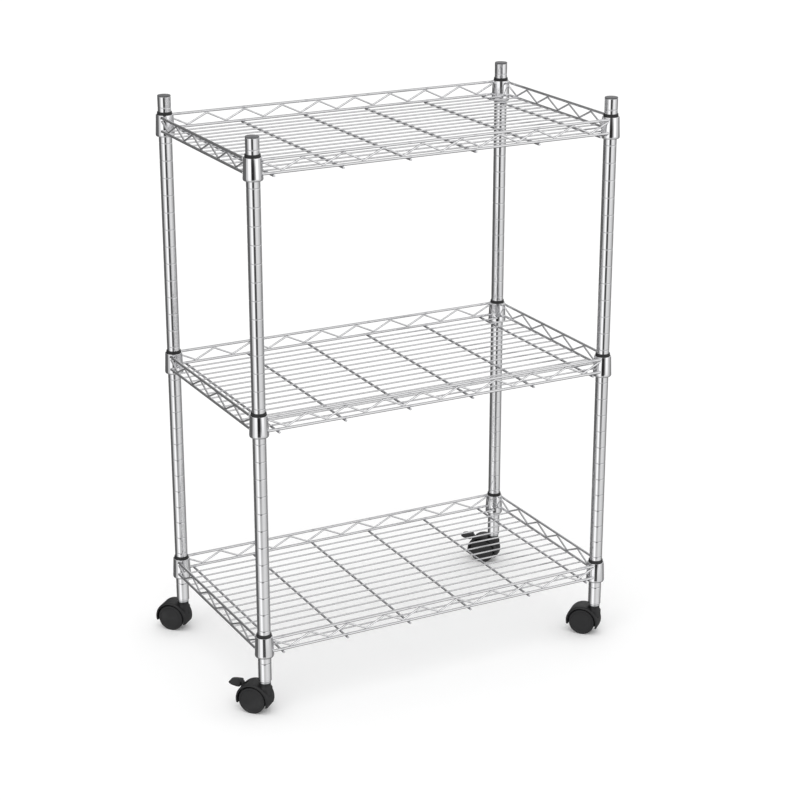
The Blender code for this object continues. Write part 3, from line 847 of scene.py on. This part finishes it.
floor_mesh = bpy.data.meshes.new("floor")
floor_mesh.from_pydata([(-FLOOR_HALF, -FLOOR_HALF, 0.0), (FLOOR_HALF, -FLOOR_HALF, 0.0),
                        (FLOOR_HALF, FLOOR_HALF, 0.0), (-FLOOR_HALF, FLOOR_HALF, 0.0)], [], [(0, 1, 2, 3)])
sweep = bpy.data.materials.new("sweep")
sweep.use_nodes = True
sweep.node_tree.nodes.clear()
paper = Signal(sweep.node_tree)
place = paper.node("ShaderNodeTexCoord", output="Object")
fibre = paper.noise(place, 400.0, 2.0)
white = paper.blend(fibre, (0.965, 0.965, 0.965), (0.985, 0.985, 0.985))
matt = paper.node("ShaderNodeBsdfDiffuse", None, {"Color": white})
camera_ray = paper.node("ShaderNodeLightPath", output="Is Camera Ray")
lift = paper.node("ShaderNodeEmission", None, {"Color": FLOOR_LIFT * camera_ray, "Strength": 1.0})
bright = paper.node("ShaderNodeAddShader", None, {0: matt, 1: lift})
clear = paper.node("ShaderNodeBsdfTransparent")
mirror_ray = paper.node("ShaderNodeLightPath", output="Is Glossy Ray")
shown = paper.node("ShaderNodeMixShader", None, {0: mirror_ray, 1: bright, 2: clear})
paper.node("ShaderNodeOutputMaterial", None, {"Surface": shown})
floor_mesh.materials.append(sweep)
floor = bpy.data.objects.new("floor", floor_mesh)
bpy.context.scene.collection.objects.link(floor)


# Studio: an even white dome and a soft overhead lamp. Polished metal mirrors a dark wall behind the
# cart, a dark strip on the camera's side and a bright window to the left and right of that strip.
DOME = 0.87
WALL = 0.70
LAMP_ANGLE = math.radians(50)
LAMP_ENERGY = 0.62
LAMP_AIM = (0.35, 0.45, -1.0)

world = bpy.data.worlds.new("studio")
bpy.context.scene.world = world
world.use_nodes = True
world.node_tree.nodes.clear()
sky = Signal(world.node_tree)
outward = sky.node("ShaderNodeTexCoord", output="Generated")
east = sky.node("ShaderNodeSeparateXYZ", None, {"Vector": outward}, "X")
north = sky.node("ShaderNodeSeparateXYZ", None, {"Vector": outward}, "Y")
up = sky.node("ShaderNodeSeparateXYZ", None, {"Vector": outward}, "Z")
bearing = sky.math("ARCTAN2", east, north)


def facing(centre, inner, outer):
    """1 within inner degrees of a bearing from the cart, falling to 0 at outer."""
    return bearing.near(math.radians(centre), 2 * math.pi, math.radians(inner), math.radians(outer))


behind = facing(-27, 42, 56) * sky.fade(up.math("ABSOLUTE", up), 0.72, 0.50)
camera_side = facing(-155, 13, 21) * sky.fade(up, -0.42, -0.30) * sky.fade(up, 0.45, 0.25)
camera_top = facing(-163, 20, 30) * sky.fade(up, -0.21, -0.16) * sky.fade(up, 0.10, -0.02)
far_right = facing(72, 26, 46) * sky.fade(up, 0.02, -0.08)
ceiling = sky.fade(up, 0.64, 0.86)
ground = sky.fade(up, -0.45, -0.70)
low_light = sky.fade(up, 0.20, -0.02)
left_window = 0.55 * (facing(-120, 12, 24) * low_light)
right_window = facing(162, 16, 32) * low_light * (0.16 + 0.40 * sky.fade(up, -0.28, -0.12))
mirrored = WALL + left_window + right_window + 0.28 * sky.fade(up, -0.24, 0.16)
for shade, depth in ((behind, 0.80), (camera_side, 0.88), (far_right, 0.55), (camera_top, 0.70),
                     (ceiling, 0.45), (ground, 0.52)):
    mirrored = mirrored * (1 - depth * shade)
seen = sky.node("ShaderNodeLightPath", output="Is Camera Ray")
glint = sky.node("ShaderNodeLightPath", output="Is Glossy Ray")
light = seen + (1 - seen) * (glint * mirrored + (1 - glint) * DOME)
glow = sky.node("ShaderNodeBackground", None, {"Color": light, "Strength": 1.0})
sky.node("ShaderNodeOutputWorld", None, {"Surface": glow})

lamp_data = bpy.data.lights.new("overhead", "SUN")
lamp_data.angle = LAMP_ANGLE
lamp_data.energy = LAMP_ENERGY
lamp = bpy.data.objects.new("overhead", lamp_data)
lamp.rotation_euler = Vector(LAMP_AIM).to_track_quat("-Z", "Y").to_euler()
bpy.context.scene.collection.objects.link(lamp)


# Camera: a long lens at the front left, above the top shelf, looking down over all three trays.
# It is tilted and not shifted, so that the cart stays in the picture from every other side.
CAMERA_SPOT = (-1.3369, -2.5779, 1.4044)
CAMERA_YAW = 27.769
CAMERA_PITCH = -19.486
CAMERA_LENS = 93.36

lens = bpy.data.cameras.new("camera")
lens.sensor_width = 36.0
lens.lens = CAMERA_LENS
lens.clip_end = 60.0
camera = bpy.data.objects.new("camera", lens)
camera.location = CAMERA_SPOT
camera.rotation_euler = (math.radians(90 + CAMERA_PITCH), 0.0, math.radians(-CAMERA_YAW))
bpy.context.scene.collection.objects.link(camera)
bpy.context.scene.camera = camera
bpy.context.scene.view_settings.view_transform = "Standard"
